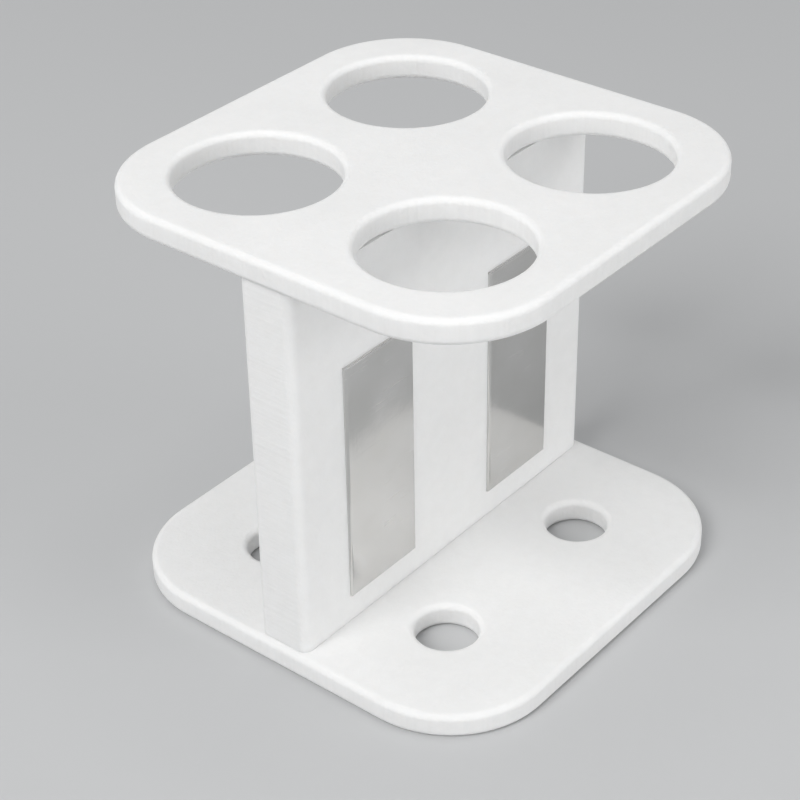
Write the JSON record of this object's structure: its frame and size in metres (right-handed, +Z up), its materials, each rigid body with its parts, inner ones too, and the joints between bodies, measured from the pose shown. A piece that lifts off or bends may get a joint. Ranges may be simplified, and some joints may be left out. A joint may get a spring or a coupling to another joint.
{
  "type": "magnetic separation rack",
  "caption": "Bench rack that holds conical centrifuge tubes upright against block magnets set in a central white plastic upright between a bored top plate and a base plate.",
  "frame": {"origin": "centre of the base plate's underside, on the bench", "axes": "+X along the upright, +Y across it from one row of tubes to the other, +Z up"},
  "size_m": [0.087, 0.087, 0.0845],
  "materials": {
    "white_plastic": "satin",
    "nickel_plating": "bright nickel plate"
  },
  "bodies": {
    "root": {"base_plate": "white_plastic", "upright": "white_plastic", "magnet_left": "nickel_plating", "magnet_right": "nickel_plating", "top_plate": "white_plastic"}
  },
  "joints": []
}
